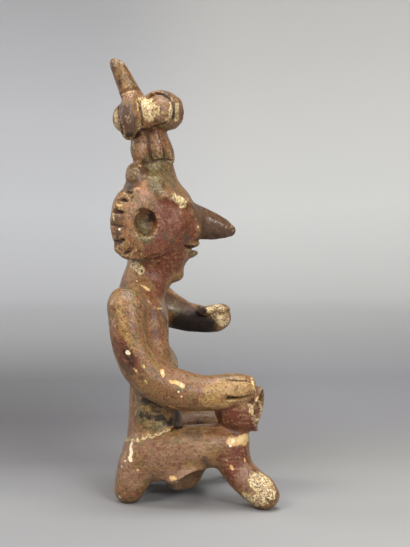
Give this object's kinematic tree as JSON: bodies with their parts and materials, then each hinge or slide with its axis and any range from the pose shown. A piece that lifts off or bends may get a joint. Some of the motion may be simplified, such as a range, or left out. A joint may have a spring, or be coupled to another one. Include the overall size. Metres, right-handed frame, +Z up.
{
  "type": "seated pottery figure",
  "caption": "Slender seated figure of burnished clay with a beaked nose, disc ears, a bound horned top-knot, one raised arm and a small jar on the knee.",
  "frame": {"origin": "on the ground, under the middle of the figure's box", "axes": "+X the way the figure looks, +Y to its left, +Z up"},
  "size_m": [0.103, 0.1, 0.2706],
  "materials": {
    "burnished_clay": "burnished red-brown slip, worn to buff in places"
  },
  "bodies": {
    "root": {"seated_figure": "burnished_clay"}
  },
  "joints": []
}
